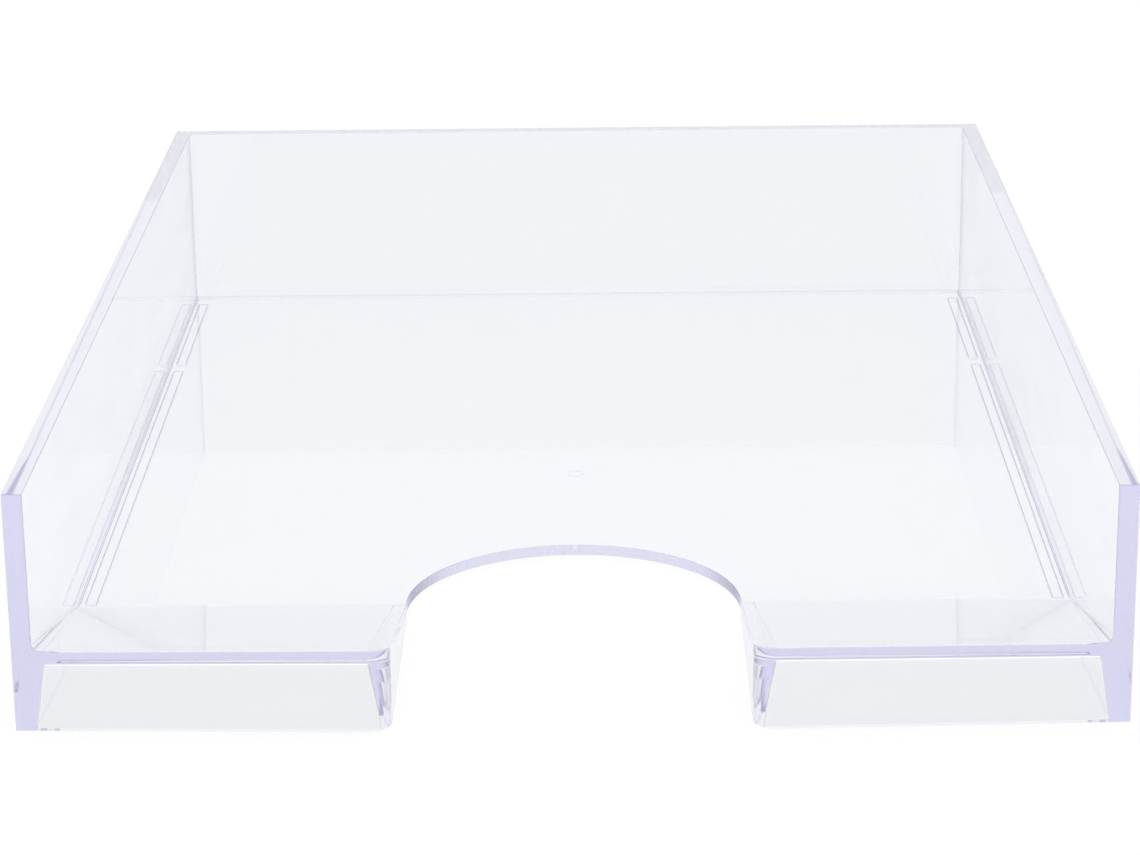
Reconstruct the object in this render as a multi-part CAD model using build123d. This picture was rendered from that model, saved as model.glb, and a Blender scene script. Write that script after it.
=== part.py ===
from build123d import *
from math import atan2, cos, degrees, tan
import os

# Clear plastic letter tray: an open box with upright walls, a low sloped front and a round thumb notch.
# X is the width, Y the depth with the front at -Y, and Z is up, in millimetres.
# The origin is on the table, in the middle of the tray's footprint.

# Overall box
base_width = 254.0            # across the outer faces of the side walls
wall_height = 57.0
side_depth = 348.4            # front edge of a side wall to the rear face
front_bow = 2.65              # how far the front swings forward from the side walls to the notch

# Walls
side_thickness = 4.7
back_thickness = 4.9

# Floor
floor_thickness = 2.8
floor_clearance = 1.0         # table to the floor's underside
gate_diameter = 4.2           # round mark where the plastic entered the mould
gate_height = 0.3             # how far the mark stands out of the floor's underside
gate_from_back = 176.0        # inner face of the back wall to the middle of the mark

# Sloped front
ramp_run = 67.8               # front edge of a side wall to the foot of the ramps
lip_height = 20.0             # table to the top of the lip, at its foremost edge
lip_thickness = 3.3           # upright thickness of the ramp plate at the lip

# Thumb notch
notch_half_width = 41.2       # also the radius of its round end
notch_corner_radius = 5.5     # rounded front corners beside the notch

# Skirt under the ramps: each plate is thinnest at the table and thickens towards the ramp
panel_foot = 2.4              # front panel's thickness at the table
cheek_foot = 2.8              # notch cheek's thickness at the table
ledge_foot = 0.3              # ramp ledge's thickness at the table
skirt_taper = 2.4             # what each plate gains up to the underside of the lip

# Rails under the floor
rail_width = 3.0
rail_wall_gap = 1.3           # inner face of the side wall to the rail
rail_foot_gap = 3.1           # foot of the ramp to the front end of the front rail
rail_break = 6.6              # gap between the front and the rear rail
rear_rail_length = 64.7
rail_back_gap = 7.4           # rear end of the rear rail to the back wall

# Cutting solids run past what they cut by this much
overrun = 20.0

# Places that the sizes above give
half_width = base_width / 2
inner_half = half_width - side_thickness
bow_angle = atan2(front_bow, inner_half - notch_half_width)
corner_setback = notch_corner_radius * (tan(bow_angle) + 1 / cos(bow_angle) - 1)
back_face = (side_depth + front_bow - corner_setback) / 2
back_inner = back_face - back_thickness
side_front = back_face - side_depth
front_tip = side_front - front_bow
ramp_foot = side_front + ramp_run
floor_top = floor_clearance + floor_thickness
lip_underside = lip_height - lip_thickness
cheek_width = max(notch_corner_radius, cheek_foot + skirt_taper)
cheek_end = notch_half_width + cheek_width
ledge_start = inner_half - ledge_foot - skirt_taper


def face_of(points):
    """A flat face from the corner points of its outline."""
    return make_face(Polyline(*points, close=True))


def along_width(points, width):
    """A solid of one (Y, Z) profile, from the middle plane out to the right."""
    return extrude(Plane.YZ * face_of(points), amount=width)


def along_depth(points, rear, length):
    """A solid of one (X, Z) profile, from the rear place forward."""
    return extrude(Plane.XZ.offset(-rear) * face_of(points), amount=length)


def slab(low, high):
    """A box between two corners."""
    size = [b - a for a, b in zip(low, high)]
    return Pos(*low) * Box(*size, align=(Align.MIN, Align.MIN, Align.MIN))


def front_block():
    """The front on one side of the notch, seen from above: bowed front edge, rounded notch corner."""
    outline = face_of(
        [
            (notch_half_width, ramp_foot),
            (notch_half_width, front_tip),
            (inner_half, side_front),
            (inner_half, ramp_foot),
        ]
    )
    corner = outline.vertices().sort_by_distance((notch_half_width, front_tip, 0))[0]
    return extrude(fillet(corner, notch_corner_radius), amount=wall_height)


def front_ramp():
    """The sloped plate from the floor's front edge up to the lip."""
    profile = [
        (front_tip, lip_height),
        (ramp_foot, floor_top),
        (ramp_foot, floor_clearance),
        (front_tip, lip_underside),
    ]
    return along_width(profile, inner_half) & front_block()


def skirt_pocket():
    """The tapered hollow under a ramp, open towards the table."""
    across = along_depth(
        [
            (notch_half_width + cheek_foot, 0),
            (notch_half_width + cheek_foot + skirt_taper, lip_underside),
            (ledge_start, lip_underside),
            (inner_half - ledge_foot, 0),
        ],
        ramp_foot + overrun,
        side_depth,
    )
    lengthwise = along_width(
        [
            (panel_foot, 0),
            (panel_foot + skirt_taper, lip_underside),
            (side_depth, lip_underside),
            (side_depth, 0),
        ],
        base_width,
    )
    turned = Pos(notch_half_width, front_tip) * Rot(0, 0, degrees(bow_angle)) * lengthwise
    return across & turned


def skirt():
    """What stands under a ramp, in one go: ledge on the side wall, front panel and notch cheek."""
    profile = [
        (front_tip, 0),
        (front_tip, lip_underside),
        (ramp_foot, floor_clearance),
        (ramp_foot, 0),
    ]
    return (along_width(profile, inner_half) & front_block()) - skirt_pocket()


def skirt_between(start, end):
    """The stretch of the skirt between two distances from the middle plane."""
    return skirt() & slab((start, front_tip - overrun, 0), (end, ramp_foot + overrun, wall_height))


def side_wall():
    """A full-depth wall, from the front edge to the rear face."""
    return slab((inner_half, side_front, 0), (half_width, back_face, wall_height))


def back_wall():
    """The rear wall, between the inner faces of the side walls."""
    return slab((-inner_half, back_inner, 0), (inner_half, back_face, wall_height))


def floor_panel():
    """The floor, with the round end of the thumb notch and the gate mark underneath."""
    plate = slab((-inner_half, ramp_foot, floor_clearance), (inner_half, back_inner, floor_top))
    notch = Pos(0, ramp_foot, 0) * Cylinder(notch_half_width, wall_height)
    gate = Pos(0, back_inner - gate_from_back, floor_clearance) * Cylinder(
        gate_diameter / 2, gate_height, align=(Align.CENTER, Align.CENTER, Align.MAX)
    )
    return plate - notch + gate


def rail(front, rear):
    """A low rib under the floor, just inside the side wall."""
    outer = inner_half - rail_wall_gap
    return slab((outer - rail_width, front, 0), (outer, rear, floor_clearance))


rear_rail_end = back_inner - rail_back_gap
rear_rail_start = rear_rail_end - rear_rail_length

# The pieces on the right of the middle plane, each of which has a mirrored twin on the left
paired_pieces = {
    "side_wall": side_wall(),
    "front_ramp": front_ramp(),
    "ramp_ledge": skirt_between(ledge_start, inner_half),
    "front_panel": skirt_between(cheek_end, ledge_start),
    "notch_cheek": skirt_between(notch_half_width, cheek_end),
    "front_rail": rail(ramp_foot + rail_foot_gap, rear_rail_start - rail_break),
    "rear_rail": rail(rear_rail_start, rear_rail_end),
}

pieces = {"floor_panel": floor_panel(), "back_wall": back_wall()}
for name, piece in paired_pieces.items():
    pieces["right_" + name] = piece
    pieces["left_" + name] = mirror(piece, about=Plane.YZ)

os.makedirs("parts", exist_ok=True)
for name, piece in pieces.items():
    export_step(piece, os.path.join("parts", name + ".step"))
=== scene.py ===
import math

import bpy
from mathutils import Matrix, Vector


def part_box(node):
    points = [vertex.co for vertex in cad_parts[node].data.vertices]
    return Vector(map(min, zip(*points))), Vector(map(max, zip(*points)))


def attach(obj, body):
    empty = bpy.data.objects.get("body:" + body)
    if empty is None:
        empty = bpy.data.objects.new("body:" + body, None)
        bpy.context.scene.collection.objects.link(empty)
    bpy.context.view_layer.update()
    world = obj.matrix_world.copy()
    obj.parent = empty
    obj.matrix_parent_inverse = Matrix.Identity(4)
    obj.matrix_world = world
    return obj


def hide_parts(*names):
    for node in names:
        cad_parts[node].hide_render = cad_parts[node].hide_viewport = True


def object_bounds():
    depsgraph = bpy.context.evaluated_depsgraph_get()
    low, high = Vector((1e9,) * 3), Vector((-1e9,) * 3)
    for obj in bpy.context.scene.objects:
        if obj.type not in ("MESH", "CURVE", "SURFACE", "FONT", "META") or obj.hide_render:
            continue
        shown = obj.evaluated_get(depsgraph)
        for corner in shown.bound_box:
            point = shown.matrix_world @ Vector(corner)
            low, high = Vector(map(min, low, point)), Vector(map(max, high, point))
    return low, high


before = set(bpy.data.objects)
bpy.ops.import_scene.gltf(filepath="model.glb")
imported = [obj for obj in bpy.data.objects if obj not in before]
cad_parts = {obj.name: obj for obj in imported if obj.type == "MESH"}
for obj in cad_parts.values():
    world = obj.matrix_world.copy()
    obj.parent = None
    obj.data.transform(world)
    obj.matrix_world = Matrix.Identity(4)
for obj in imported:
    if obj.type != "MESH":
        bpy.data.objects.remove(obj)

cad_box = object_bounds()

# The tray body: one clear polystyrene moulding, so its walls, floor and ramps run into each other.
# It starts as a block with the bow of its front, and is hollowed out from there.
millimetre = 0.001
outer_low, outer_high = cad_box
side_low, side_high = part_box("right_side_wall")
floor_low, floor_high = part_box("floor_panel")
ramp_low, ramp_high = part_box("right_front_ramp")
front_bow = 2.65 * millimetre
overrun = 20 * millimetre
hair = millimetre / 100
inner_half = ramp_high.x
notch_half = ramp_low.x
ramp_foot = floor_low.y
front_tip = side_low.y - front_bow
bow_angle = math.atan2(front_bow, side_high.x - notch_half)


def new_block(name, low, high):
    """A box between two corners, as the start of a piece or of the tool that cuts one."""
    bpy.ops.object.select_all(action="DESELECT")
    low, high = Vector(low), Vector(high)
    bpy.ops.mesh.primitive_cube_add(size=1, location=(low + high) / 2, scale=high - low)
    block = bpy.context.object
    block.name = name
    bpy.ops.object.transform_apply(location=True, rotation=True, scale=True)
    return block


def pick_corners(piece, wanted):
    """Goes into edit mode with those corners selected whose place is wanted."""
    bpy.ops.object.select_all(action="DESELECT")
    bpy.context.view_layer.objects.active = piece
    bpy.ops.object.mode_set(mode="EDIT")
    bpy.ops.mesh.select_mode(type="VERT")
    bpy.ops.mesh.select_all(action="DESELECT")
    bpy.ops.object.mode_set(mode="OBJECT")
    for corner in piece.data.vertices:
        corner.select = wanted(corner.co)
    bpy.ops.object.mode_set(mode="EDIT")


def round_edges(piece, wanted, radius, steps):
    """Rounds those edges of a piece whose two ends are wanted together."""
    pick_corners(piece, lambda corner: False)
    bpy.ops.mesh.select_mode(type="EDGE")
    bpy.ops.object.mode_set(mode="OBJECT")
    corners = piece.data.vertices
    for edge in piece.data.edges:
        first, second = (corners[end].co for end in edge.vertices)
        edge.select = wanted(first, second)
    bpy.ops.object.mode_set(mode="EDIT")
    bpy.ops.mesh.bevel(offset=radius, segments=steps, affect="EDGES")
    bpy.ops.object.mode_set(mode="OBJECT")


def slide_corners(piece, wanted, step):
    """Moves the wanted corners of a piece by one step."""
    pick_corners(piece, wanted)
    bpy.ops.transform.translate(value=step)
    bpy.ops.object.mode_set(mode="OBJECT")


def slice_across(piece, place, direction, trim=False):
    """Adds the edges where a plane crosses the piece, and with trim takes off what is beyond it."""
    pick_corners(piece, lambda corner: True)
    bpy.ops.mesh.bisect(
        plane_co=place,
        plane_no=direction,
        clear_outer=trim,
        use_fill=trim,
        threshold=hair / 100,
    )
    bpy.ops.object.mode_set(mode="OBJECT")


def combine(piece, tool, operation):
    """Cuts a tool out of a piece, or adds it, and throws the tool away."""
    bpy.context.view_layer.objects.active = piece
    change = piece.modifiers.new(operation, "BOOLEAN")
    change.operation = operation
    change.solver = "EXACT"
    change.object = tool
    bpy.ops.object.modifier_apply(modifier=change.name)
    bpy.data.objects.remove(tool)


tray = new_block(
    "tray_moulding",
    (-side_high.x, side_low.y, outer_low.z),
    (side_high.x, side_high.y, outer_high.z),
)
slice_across(tray, (0, 0, 0), (1, 0, 0))
slide_corners(
    tray,
    lambda corner: corner.y < 0 and abs(corner.x) < notch_half,
    (0, -side_high.x * math.tan(bow_angle), 0),
)

# The document space: open at the top and at the front, with upright inner faces.
# Its flat floor bends up softly into the two ramps, which end in the lip. The upright corners at the
# rear are well rounded, and so is the corner beside each ramp, more and more towards the lip.
rear_radius = 2.0 * millimetre
rear_steps = 5
bend_width = 2.0 * millimetre
bend_rise_shares = {1: 0, 1 / 3: 1 / 6, -1 / 3: 1 / 2, -1: 1}
lip_radius = 2.4 * millimetre
lip_steps = 4
lip_seam = 0.1 * millimetre
ramp_slope = (ramp_high.z - floor_high.z) / (ramp_foot - ramp_low.y)
space = new_block(
    "document_space",
    (-inner_half, front_tip - overrun, floor_high.z),
    (inner_half, floor_high.y, outer_high.z + overrun),
)
for share in bend_rise_shares:
    slice_across(space, (0, ramp_foot + share * bend_width, 0), (0, 1, 0))
for share, rise_share in bend_rise_shares.items():
    bend_place = ramp_foot + share * bend_width
    slide_corners(
        space,
        lambda corner: abs(corner.y - bend_place) < hair and corner.z < outer_high.z / 2,
        (0, 0, rise_share * ramp_slope * bend_width),
    )
slide_corners(
    space,
    lambda corner: corner.y < front_tip and corner.z < outer_high.z / 2,
    (0, 0, ramp_slope * (ramp_foot - front_tip + overrun)),
)
round_edges(
    space,
    lambda first, second: min(first.y, second.y) > 0 and abs(first.z - second.z) > overrun,
    rear_radius,
    rear_steps,
)
for side in (-1, 1):
    foot = Vector((side * inner_half, ramp_foot - bend_width, floor_high.z + ramp_slope * bend_width))
    round_edges(
        space,
        lambda first, second: min(side * first.x, side * second.x) > inner_half - hair
        and abs(first.y - second.y) > overrun
        and max(first.y, second.y) < foot.y + hair
        and max(first.z, second.z) < outer_high.z,
        lip_radius,
        lip_steps,
    )
    pick_corners(
        space,
        lambda corner: abs(corner.y - foot.y) < hair and (corner - foot).length < 2 * lip_radius,
    )
    bpy.ops.transform.resize(value=(0, 0, 0), center_override=foot)
    bpy.ops.mesh.select_all(action="SELECT")
    bpy.ops.mesh.remove_doubles(threshold=lip_seam)
    bpy.ops.object.mode_set(mode="OBJECT")
combine(tray, space, "DIFFERENCE")

# The thumb notch: straight sides that end in a half circle, open right through to the table.
# A round bar gives the half circle, and its flat side is drawn out past the front.
arc_steps = 192
bpy.ops.object.select_all(action="DESELECT")
bpy.ops.mesh.primitive_cylinder_add(
    vertices=arc_steps,
    radius=notch_half,
    depth=2 * overrun + outer_high.z,
    location=(0, ramp_foot, 0),
)
notch = bpy.context.object
bpy.ops.object.transform_apply(location=True, rotation=True, scale=True)
slice_across(notch, (0, ramp_foot, 0), (0, -1, 0), trim=True)
pick_corners(notch, lambda corner: abs(corner.y - ramp_foot) < hair)
bpy.ops.mesh.extrude_region_move(TRANSFORM_OT_translate={"value": (0, front_tip - overrun - ramp_foot, 0)})
bpy.ops.mesh.select_all(action="SELECT")
bpy.ops.mesh.normals_make_consistent(inside=False)
bpy.ops.object.mode_set(mode="OBJECT")
combine(tray, notch, "DIFFERENCE")

# The hollows underneath: the floor's underside is lifted a little off the table, and runs on into a
# pocket under each ramp, so that all plates stay thin. Front panel, notch cheek and the ledge on the
# side wall are drafted: thinnest at the table and thickest at the ramp.
panel_low, panel_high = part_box("right_front_panel")
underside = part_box("right_front_rail")[1].z
underside_slope = (panel_high.z - underside) / (ramp_foot - panel_low.y)
lip_underside = underside + underside_slope * (ramp_foot - front_tip)
panel_foot = 2.4 * millimetre
cheek_foot = 2.8 * millimetre
skirt_taper = 2.4 * millimetre
pocket_radius = 0.5 * millimetre
pocket_steps = 4
draft = skirt_taper / lip_underside
pocket_start = notch_half + cheek_foot
pocket_front = front_tip - overrun
pocket_rise = underside_slope * (ramp_foot - pocket_front)
hollow = new_block(
    "hollow_underneath",
    (-inner_half, ramp_foot, -overrun),
    (inner_half, floor_high.y, underside),
)
for side in (-1, 1):
    slice_across(hollow, (side * pocket_start, 0, 0), (-side, 0, draft))
for side in (-1, 1):
    pick_corners(
        hollow,
        lambda corner: abs(corner.y - ramp_foot) < hair and side * corner.x > notch_half / 2,
    )
    bpy.ops.mesh.extrude_region_move(TRANSFORM_OT_translate={"value": (0, pocket_front - ramp_foot, 0)})
    bpy.ops.object.mode_set(mode="OBJECT")
    slide_corners(
        hollow,
        lambda corner: corner.y < front_tip and corner.z > 0 and 0 < side * corner.x < inner_half - overrun,
        (side * draft * pocket_rise, 0, pocket_rise),
    )
    slide_corners(
        hollow,
        lambda corner: corner.y < front_tip and corner.z > 0 and side * corner.x > inner_half - overrun,
        (0, 0, pocket_rise),
    )
slice_across(hollow, (0, 0, underside), (0, 0, 1))
for side in (-1, 1):
    slide_corners(
        hollow,
        lambda corner: corner.z > 2 * underside and side * corner.x > inner_half - overrun,
        (-side * draft * pocket_rise, 0, 0),
    )
for side in (-1, 1):
    front_normal = Vector((side * math.sin(bow_angle), -math.cos(bow_angle), 0))
    panel_inside = Vector((side * notch_half, front_tip, 0)) - panel_foot * front_normal
    lean = (front_normal + Vector((0, 0, draft))).normalized()
    slice_across(hollow, panel_inside, lean, trim=True)
    round_edges(
        hollow,
        lambda first, second: max(first.z, second.z) > 0
        and all(
            side * end.x > 0 and abs((end - panel_inside).dot(lean)) < hair
            for end in (first, second)
        ),
        pocket_radius,
        pocket_steps,
    )
combine(tray, hollow, "DIFFERENCE")

# The rounding of the mould: a large radius on the two front corners of the notch, and a small one on
# every other edge but those that stand on the table, finer behind the front than at it.
corner_radius = 5.5 * millimetre
corner_steps = 24
edge_radius = 0.4 * millimetre
edge_steps = 3
edge_angle = math.radians(30)
flat_angle = math.radians(0.5)
rear_share = 0.35
front_depth = 8 * millimetre


def pick_sharp_edges(piece, angle):
    """Goes into edit mode with those edges selected whose two faces meet at more than an angle."""
    pick_corners(piece, lambda corner: False)
    bpy.ops.mesh.select_mode(type="EDGE")
    bpy.ops.mesh.edges_select_sharp(sharpness=angle)


pick_corners(tray, lambda corner: True)
bpy.ops.mesh.remove_doubles(threshold=hair / 10)
bpy.ops.mesh.dissolve_limited(angle_limit=flat_angle)
bpy.ops.object.mode_set(mode="OBJECT")
round_edges(
    tray,
    lambda first, second: max(abs(first.y - front_tip), abs(second.y - front_tip)) < hair
    and abs(first.x - second.x) < hair,
    corner_radius,
    corner_steps,
)
pick_sharp_edges(tray, edge_angle)
bpy.ops.object.mode_set(mode="OBJECT")
corners = tray.data.vertices
shares = tray.data.attributes.new("bevel_weight_edge", "FLOAT", "EDGE")
for edge in tray.data.edges:
    first, second = (corners[end].co for end in edge.vertices)
    if edge.select and max(first.z, second.z) > hair:
        at_front = max(first.y, second.y) < side_low.y + front_depth
        shares.data[edge.index].value = 1 if at_front else rear_share
rounding = tray.modifiers.new("rounding", "BEVEL")
rounding.limit_method = "WEIGHT"
rounding.width = edge_radius
rounding.segments = edge_steps
bpy.ops.object.modifier_apply(modifier=rounding.name)

# The rails: low ribs under the floor beside the walls, two in line on each side.
# They are part of the moulding, so each one is grown onto the floor.
rail_radius = 0.4 * millimetre
rail_steps = 4
rail_root = 1.0 * millimetre
for name in ("left_front_rail", "left_rear_rail", "right_front_rail", "right_rear_rail"):
    low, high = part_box(name)
    rail = new_block(name, low, high + Vector((0, 0, rail_root)))
    round_edges(rail, lambda first, second: min(first.z, second.z) < high.z, rail_radius, rail_steps)
    combine(tray, rail, "UNION")

# The gate mark: the low round stub under the floor where the plastic entered the mould.
# It is a flat disc with a worn edge, half sunk into the floor's underside.
gate_radius = 2.1 * millimetre
gate_sides = 64
gate_wear = 0.12 * millimetre
gate_steps = 3
gate_from_back = 176.0 * millimetre
bpy.ops.object.select_all(action="DESELECT")
bpy.ops.mesh.primitive_cylinder_add(
    vertices=gate_sides,
    radius=gate_radius,
    depth=2 * (underside - floor_low.z),
    location=(0, floor_high.y - gate_from_back, underside),
)
gate = bpy.context.object
bpy.ops.object.transform_apply(location=True, rotation=True, scale=True)
round_edges(gate, lambda first, second: max(first.z, second.z) < underside, gate_wear, gate_steps)
combine(tray, gate, "UNION")

# The finish of the plastic: clear and glossy, violet where light runs a long way through it, with the
# faint waves of a moulded face and the fine rubbing marks of use.
crease_angle = math.radians(40)
clear_plastic = bpy.data.materials.new("clear_plastic")
clear_plastic.use_nodes = True
nodes = clear_plastic.node_tree.nodes
links = clear_plastic.node_tree.links
plastic = nodes["Principled BSDF"]
plastic.inputs["Transmission Weight"].default_value = 1
plastic.inputs["IOR"].default_value = 1.585
place = nodes.new("ShaderNodeTexCoord")
clouds = nodes.new("ShaderNodeTexNoise")
clouds.inputs["Scale"].default_value = 9
clouds.inputs["Detail"].default_value = 3
links.new(place.outputs["Object"], clouds.inputs["Vector"])
tint = nodes.new("ShaderNodeMix")
tint.data_type = "RGBA"
tint.inputs["A"].default_value = (0.968, 0.974, 0.986, 1)
tint.inputs["B"].default_value = (0.98, 0.985, 0.993, 1)
links.new(clouds.outputs["Fac"], tint.inputs["Factor"])
links.new(tint.outputs["Result"], plastic.inputs["Base Color"])
stretch = nodes.new("ShaderNodeMapping")
stretch.inputs["Scale"].default_value = (420, 25, 120)
links.new(place.outputs["Object"], stretch.inputs["Vector"])
rubbing = nodes.new("ShaderNodeTexNoise")
rubbing.inputs["Scale"].default_value = 1
rubbing.inputs["Detail"].default_value = 4
links.new(stretch.outputs["Vector"], rubbing.inputs["Vector"])
gloss = nodes.new("ShaderNodeMapRange")
gloss.inputs["From Min"].default_value = 0.35
gloss.inputs["From Max"].default_value = 0.8
gloss.inputs["To Min"].default_value = 0.025
gloss.inputs["To Max"].default_value = 0.07
links.new(rubbing.outputs["Fac"], gloss.inputs["Value"])
links.new(gloss.outputs["Result"], plastic.inputs["Roughness"])
waves = nodes.new("ShaderNodeTexNoise")
waves.inputs["Scale"].default_value = 28
waves.inputs["Detail"].default_value = 1
links.new(place.outputs["Object"], waves.inputs["Vector"])
relief = nodes.new("ShaderNodeBump")
relief.inputs["Strength"].default_value = 0.3
relief.inputs["Distance"].default_value = 0.05 * millimetre
links.new(waves.outputs["Fac"], relief.inputs["Height"])
links.new(relief.outputs["Normal"], plastic.inputs["Normal"])
absorption = nodes.new("ShaderNodeVolumeAbsorption")
absorption.inputs["Color"].default_value = (0.22, 0.16, 0.81, 1)
absorption.inputs["Density"].default_value = 1.0
links.new(absorption.outputs["Volume"], nodes["Material Output"].inputs["Volume"])
tray.data.materials.clear()
tray.data.materials.append(clear_plastic)
bpy.ops.object.select_all(action="DESELECT")
tray.select_set(True)
bpy.context.view_layer.objects.active = tray
bpy.ops.object.shade_smooth()
pick_sharp_edges(tray, crease_angle)
bpy.ops.mesh.mark_sharp()
bpy.ops.object.mode_set(mode="OBJECT")
even = tray.modifiers.new("even_normals", "WEIGHTED_NORMAL")
even.mode = "FACE_AREA"
even.weight = 100
even.keep_sharp = True
bpy.ops.object.modifier_apply(modifier=even.name)
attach(tray, "root")
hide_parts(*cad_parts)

# The table: a plain white sweep just under the tray, white to the eye and lit at a plain level.
# The glow that the tray sees in it carries painted shade: it is written a little darker under the ramps
# and behind the tray. A tenth of it is matt paint, which takes the real shadow, so the white that the
# eye sees is written a hair brighter.
table_size = 6
table_gap = 0.3 * millimetre
matt_share = 0.1
eye_white = (1.02, 1.02, 1.02, 1)
cool_white = (1, 1.005, 1.03)
# Painted shade: the glow under the ramps and behind the tray is written darker than in front and under the
# floor.
front_level = 0.98
painted_ramp_shade = 0.93
floor_level = 0.985
painted_rear_shade = 0.94
front_fade = 0.02
foot_fade = 0.03
rear_fade = 0.04
bpy.ops.object.select_all(action="DESELECT")
bpy.ops.mesh.primitive_plane_add(size=table_size, location=(0, 0, -table_gap))
table = bpy.context.object
table.name = "table"
table_white = bpy.data.materials.new("table_white")
table_white.use_nodes = True
table_nodes = table_white.node_tree.nodes
table_links = table_white.node_tree.links
table_nodes.remove(table_nodes["Principled BSDF"])
glow = table_nodes.new("ShaderNodeEmission")
spot = table_nodes.new("ShaderNodeTexCoord")
depth = table_nodes.new("ShaderNodeSeparateXYZ")
table_links.new(spot.outputs["Object"], depth.inputs["Vector"])
span = table_nodes.new("ShaderNodeMapRange")
span.inputs["From Min"].default_value = 2 * front_tip
span.inputs["From Max"].default_value = 2 * side_high.y
table_links.new(depth.outputs["Y"], span.inputs["Value"])
painted_shade_levels = table_nodes.new("ShaderNodeValToRGB")
stops = painted_shade_levels.color_ramp.elements


def along_table(place):
    """Where a place along the tray's depth falls in the run of the table's painted shade, from 0 to 1."""
    return (place / (2 * side_high.y) + 1) / 2


def paint_stop(stop, position, level):
    """Gives one stop of the table's painted shade its position and its level of cool white."""
    stop.position = position
    stop.color = [level * part for part in cool_white] + [1]


paint_stop(stops[0], along_table(front_tip) - front_fade, front_level)
paint_stop(stops[1], along_table(side_high.y) + rear_fade, painted_rear_shade)
for position, level in (
    (along_table(front_tip), painted_ramp_shade),
    (along_table(ramp_foot) - foot_fade, painted_ramp_shade),
    (along_table(ramp_foot) + foot_fade, floor_level),
    (along_table(side_high.y), floor_level),
):
    paint_stop(stops.new(position), position, level)
table_links.new(span.outputs["Result"], painted_shade_levels.inputs["Fac"])
path = table_nodes.new("ShaderNodeLightPath")
seen = table_nodes.new("ShaderNodeMix")
seen.data_type = "RGBA"
seen.inputs["B"].default_value = eye_white
table_links.new(path.outputs["Is Camera Ray"], seen.inputs["Factor"])
table_links.new(painted_shade_levels.outputs["Color"], seen.inputs["A"])
table_links.new(seen.outputs["Result"], glow.inputs["Color"])
matt = table_nodes.new("ShaderNodeBsdfDiffuse")
matt.inputs["Color"].default_value = (1, 1, 1, 1)
blend = table_nodes.new("ShaderNodeMixShader")
blend.inputs["Fac"].default_value = matt_share
table_links.new(glow.outputs["Emission"], blend.inputs[1])
table_links.new(matt.outputs["BSDF"], blend.inputs[2])
table_links.new(blend.outputs["Shader"], table_nodes["Material Output"].inputs["Surface"])
table.data.materials.append(table_white)

# The light: a white room that is darker behind the camera and far out on both sides, which gives the
# clear edges their grey lines. The soft lamp overhead is dim, so that the clear floor doesn't vanish in
# its reflection when seen from above.
lamp_place = (0, -0.1, 1.2)
lamp_size = 1.6
lamp_watts = 4
light_bounces = 200
matt_bounces = 8
world = bpy.data.worlds.new("white_room")
bpy.context.scene.world = world
world.use_nodes = True
room_nodes = world.node_tree.nodes
room_links = world.node_tree.links
direction = room_nodes.new("ShaderNodeTexCoord")
split = room_nodes.new("ShaderNodeSeparateXYZ")
room_links.new(direction.outputs["Generated"], split.inputs["Vector"])
shade = room_nodes.new("ShaderNodeMapRange")
shade.interpolation_type = "SMOOTHSTEP"
shade.inputs["From Min"].default_value = -0.95
shade.inputs["From Max"].default_value = -0.45
shade.inputs["To Min"].default_value = 0.35
shade.inputs["To Max"].default_value = 1
room_links.new(split.outputs["Y"], shade.inputs["Value"])
sideways = room_nodes.new("ShaderNodeMath")
sideways.operation = "ABSOLUTE"
room_links.new(split.outputs["X"], sideways.inputs[0])
side_shade = room_nodes.new("ShaderNodeMapRange")
side_shade.interpolation_type = "SMOOTHSTEP"
side_shade.inputs["From Min"].default_value = 0.6
side_shade.inputs["From Max"].default_value = 0.9
side_shade.inputs["To Min"].default_value = 1
side_shade.inputs["To Max"].default_value = 0.5
room_links.new(sideways.outputs["Value"], side_shade.inputs["Value"])
both_shades = room_nodes.new("ShaderNodeMath")
both_shades.operation = "MULTIPLY"
room_links.new(shade.outputs["Result"], both_shades.inputs[0])
room_links.new(side_shade.outputs["Result"], both_shades.inputs[1])
room_nodes["Background"].inputs["Color"].default_value = (0.955, 0.961, 0.982, 1)
room_links.new(both_shades.outputs["Value"], room_nodes["Background"].inputs["Strength"])
bpy.ops.object.select_all(action="DESELECT")
bpy.ops.object.light_add(type="AREA", location=lamp_place)
lamp = bpy.context.object
lamp.data.shape = "SQUARE"
lamp.data.size = lamp_size
lamp.data.energy = lamp_watts
bpy.context.scene.cycles.max_bounces = light_bounces
bpy.context.scene.cycles.transmission_bounces = light_bounces
bpy.context.scene.cycles.glossy_bounces = light_bounces
bpy.context.scene.cycles.diffuse_bounces = matt_bounces
bpy.context.scene.view_settings.view_transform = "Standard"

# The camera: a long lens in front of the tray, near its middle plane and looking down on it a little.
# Its focal length is given in pixels, for an image 1140 pixels wide.
focal_pixels = 3472.255
image_width = 1140
camera_place = Vector((0.007012, -0.902749, 0.312638))
pitch = math.radians(18.275)
yaw = math.radians(-0.531)
roll = math.radians(-0.668)
forward = Vector((math.sin(yaw) * math.cos(pitch), math.cos(yaw) * math.cos(pitch), -math.sin(pitch)))
right = Vector((math.cos(yaw), -math.sin(yaw), 0))
up = right.cross(forward)
turned_right = math.cos(roll) * right + math.sin(roll) * up
turned_up = math.cos(roll) * up - math.sin(roll) * right
bpy.ops.object.camera_add()
camera = bpy.context.object
camera.data.sensor_width = 36
camera.data.lens = camera.data.sensor_width * focal_pixels / image_width
camera.data.clip_start = 0.01
turn = Matrix((turned_right, turned_up, -forward)).transposed()
camera.matrix_world = Matrix.Translation(camera_place) @ turn.to_4x4()
bpy.context.scene.camera = camera
